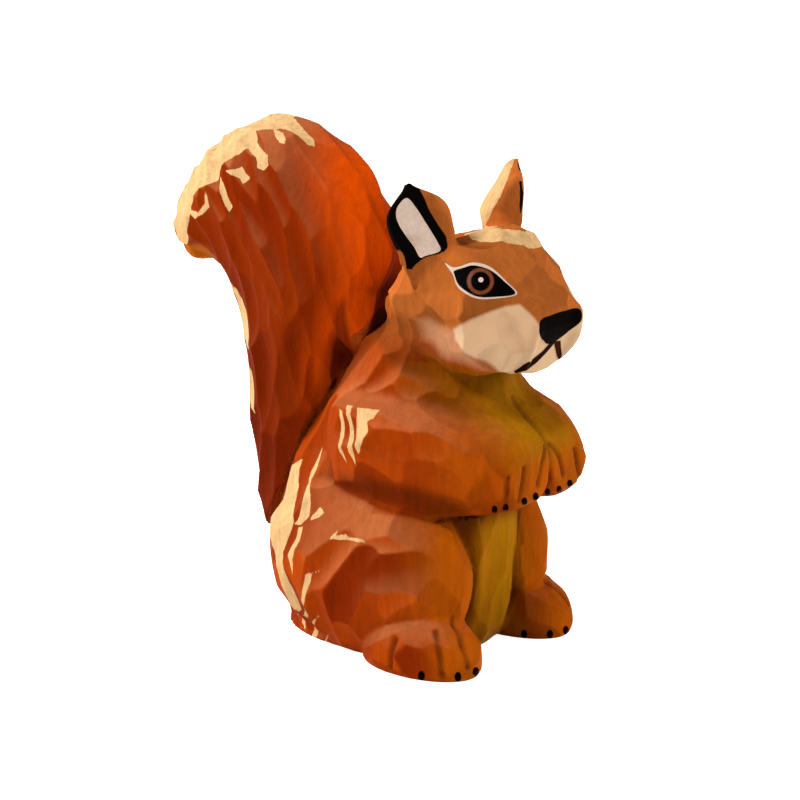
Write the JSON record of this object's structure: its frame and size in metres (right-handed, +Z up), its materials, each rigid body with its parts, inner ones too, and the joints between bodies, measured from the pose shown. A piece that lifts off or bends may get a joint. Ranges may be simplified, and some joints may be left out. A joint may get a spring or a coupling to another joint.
{
  "type": "squirrel figurine",
  "caption": "Carved and painted wooden squirrel that sits on its haunches, forepaws together, bushy tail curled back; doweled glue-up with a flat base.",
  "frame": {"origin": "on the floor, on the figure's middle plane, under the middle of the body", "axes": "+X towards the squirrel's own left, +Y from nose to tail, +Z up"},
  "size_m": [0.056, 0.1098, 0.1188],
  "materials": {
    "carved_wood": "stained and painted, satin, gouge facets left showing",
    "dowel_wood": "bare, planed"
  },
  "bodies": {
    "root": {"torso_block": "carved_wood", "head_block": "carved_wood", "tail_block": "carved_wood", "right_ear": "carved_wood", "left_ear": "carved_wood", "right_forepaw": "carved_wood", "left_forepaw": "carved_wood", "right_hind_foot": "carved_wood", "left_hind_foot": "carved_wood", "neck_dowel": "dowel_wood", "tail_dowels": "dowel_wood", "ear_dowels": "dowel_wood", "wrist_dowels": "dowel_wood", "ankle_dowels": "dowel_wood"}
  },
  "joints": []
}
